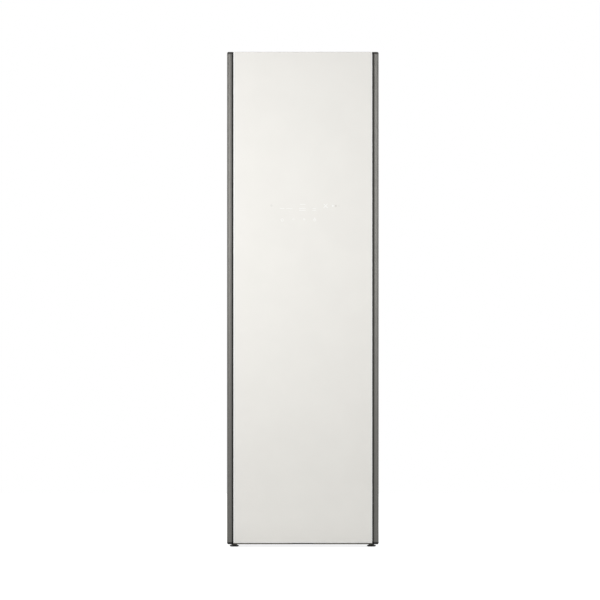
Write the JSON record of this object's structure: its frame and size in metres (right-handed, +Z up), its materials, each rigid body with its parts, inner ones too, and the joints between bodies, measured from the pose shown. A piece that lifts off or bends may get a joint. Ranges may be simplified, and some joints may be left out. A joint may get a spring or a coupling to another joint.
{
  "type": "clothes care steam cabinet",
  "caption": "Free-standing steam cabinet for clothes with a full-height glass door, a shaking hanger rod, a trouser press on the door, lift-out water tanks and a heat pump in its base.",
  "frame": {"origin": "on the floor, in the middle of the cabinet's plan (centre of the bounding box's bottom face)", "axes": "+Z up, -Y out of the door, +X to the right seen from in front of the door"},
  "size_m": [0.6, 0.596, 1.96],
  "materials": {
    "front_glass": "gloss",
    "side_trim": "satin",
    "cap_plastic": "matte",
    "bush_plastic": "satin",
    "circuit_board": "satin",
    "foam": "matte",
    "liner_white": "satin",
    "gasket_rubber": "matte",
    "hinge_steel": "satin",
    "casing": "satin",
    "galvanised_steel": "satin",
    "dark_plastic": "satin",
    "foot_plastic": "matte",
    "screw_steel": "satin",
    "lens_plastic": "gloss",
    "grey_plastic": "satin",
    "tank_plastic": "gloss",
    "shelf_wire": "polished",
    "rod_steel": "polished",
    "motor_steel": "satin",
    "press_board": "satin",
    "press_pad": "matte",
    "duct_plastic": "matte",
    "coil_aluminium": "satin",
    "impeller_plastic": "satin",
    "compressor_black": "satin",
    "copper": "satin",
    "boiler_plastic": "matte",
    "hose_rubber": "matte"
  },
  "bodies": {
    "cabinet": {"top_hinge_bracket": "hinge_steel", "bottom_hinge_bracket": "hinge_steel", "side_panel_left": "casing", "side_panel_right": "casing", "top_cover": "casing", "rear_cover": "galvanised_steel", "rear_spacers": "dark_plastic", "base_pan": "galvanised_steel", "front_frame": "liner_white", "rear_feet": "foot_plastic", "case_screws": "screw_steel", "liner_left": "liner_white", "liner_right": "liner_white", "liner_back": "liner_white", "liner_ceiling": "liner_white", "lamp_lens": "lens_plastic", "chamber_floor": "liner_white", "air_outlet_grille": "grey_plastic", "tank_bay": "liner_white", "rod_guides": "grey_plastic", "shaker_bracket": "galvanised_steel", "shaker_motor": "motor_steel", "duct_housing": "duct_plastic", "evaporator": "coil_aluminium", "condenser": "coil_aluminium", "blower_motor": "motor_steel", "blower_housing": "duct_plastic", "compressor": "compressor_black", "refrigerant_pipes": "copper", "water_pumps": "dark_plastic", "steam_generator": "boiler_plastic", "steam_and_water_hoses": "hose_rubber", "control_box": "dark_plastic", "control_board": "circuit_board", "cable_gland": "dark_plastic"},
    "door": {"door_glass": "front_glass", "door_side_trim_left": "side_trim", "door_side_trim_right": "side_trim", "door_top_cap": "cap_plastic", "door_bottom_cap": "cap_plastic", "hinge_bushes": "bush_plastic", "touch_board": "circuit_board", "door_insulation": "foam", "door_inner_liner": "liner_white", "door_gasket": "gasket_rubber"},
    "trouser_press": {"press_plate": "press_board", "press_pads": "press_pad"},
    "press_latch": {"press_latch": "grey_plastic"},
    "hanger_rod": {"hanger_rod": "rod_steel"},
    "shaker_crank": {"shaker_crank": "dark_plastic"},
    "blower_impeller": {"blower_impeller": "impeller_plastic"},
    "garment_shelf": {"garment_shelf": "shelf_wire"},
    "supply_tank": {"supply_tank": "tank_plastic"},
    "drain_tank": {"drain_tank": "tank_plastic"},
    "supply_tank_handle": {"supply_tank_handle": "grey_plastic"},
    "drain_tank_handle": {"drain_tank_handle": "grey_plastic"},
    "lint_filter": {"lint_filter": "grey_plastic"},
    "aroma_kit": {"aroma_kit": "grey_plastic"},
    "levelling_foot_left": {"levelling_foot_left": "foot_plastic"},
    "levelling_foot_right": {"levelling_foot_right": "foot_plastic"}
  },
  "joints": [
    {"name": "door_hinge", "type": "hinge", "parent": "cabinet", "child": "door", "pos_m": [0.282, -0.268, 1], "axis": [0, 0, 1], "range_deg": [0, 110]},
    {"name": "press_hinge", "type": "hinge", "parent": "door", "child": "trouser_press", "pos_m": [0.165, -0.224, 1.2], "axis": [0, 0, -1], "range_deg": [0, 100]},
    {"name": "press_latch_turn", "type": "hinge", "parent": "trouser_press", "child": "press_latch", "pos_m": [-0.15, -0.224, 1.205], "axis": [0, -1, 0], "range_deg": [0, 90]},
    {"name": "rod_shake", "type": "slide", "parent": "cabinet", "child": "hanger_rod", "axis": [1, 0, 0], "range_m": [-0.013, 0.013]},
    {"name": "crank_turn", "type": "hinge", "parent": "cabinet", "child": "shaker_crank", "pos_m": [0, -0.00625, 1.87], "axis": [0, 0, -1], "range_deg": [-61, 61]},
    {"name": "blower_spin", "type": "hinge", "parent": "cabinet", "child": "blower_impeller", "pos_m": [0, 0.14, 0.3], "axis": [0, 0, 1], "continuous": true},
    {"name": "shelf_lift", "type": "slide", "parent": "cabinet", "child": "garment_shelf", "axis": [0, 0, 1], "range_m": [0, 0.06]},
    {"name": "supply_tank_lift", "type": "slide", "parent": "cabinet", "child": "supply_tank", "axis": [0, 0, 1], "range_m": [0, 0.22]},
    {"name": "drain_tank_lift", "type": "slide", "parent": "cabinet", "child": "drain_tank", "axis": [0, 0, 1], "range_m": [0, 0.22]},
    {"name": "supply_bail_swing", "type": "hinge", "parent": "supply_tank", "child": "supply_tank_handle", "pos_m": [-0.174, -0.103, 0.39], "axis": [-1, 0, 0], "range_deg": [0, 90]},
    {"name": "drain_bail_swing", "type": "hinge", "parent": "drain_tank", "child": "drain_tank_handle", "pos_m": [0.174, -0.103, 0.39], "axis": [-1, 0, 0], "range_deg": [0, 90]},
    {"name": "lint_filter_lift", "type": "slide", "parent": "cabinet", "child": "lint_filter", "axis": [0, 0, 1], "range_m": [0, 0.15]},
    {"name": "aroma_kit_lift", "type": "slide", "parent": "cabinet", "child": "aroma_kit", "axis": [0, 0, 1], "range_m": [0, 0.06]},
    {"name": "foot_screw_left", "type": "slide", "parent": "cabinet", "child": "levelling_foot_left", "axis": [0, 0, -1], "range_m": [0, 0.01]},
    {"name": "foot_screw_right", "type": "slide", "parent": "cabinet", "child": "levelling_foot_right", "axis": [0, 0, -1], "range_m": [0, 0.01]}
  ],
  "couplings": [
    {"joint": "crank_turn", "follows": "rod_shake", "rad_per_m": 80.6}
  ]
}
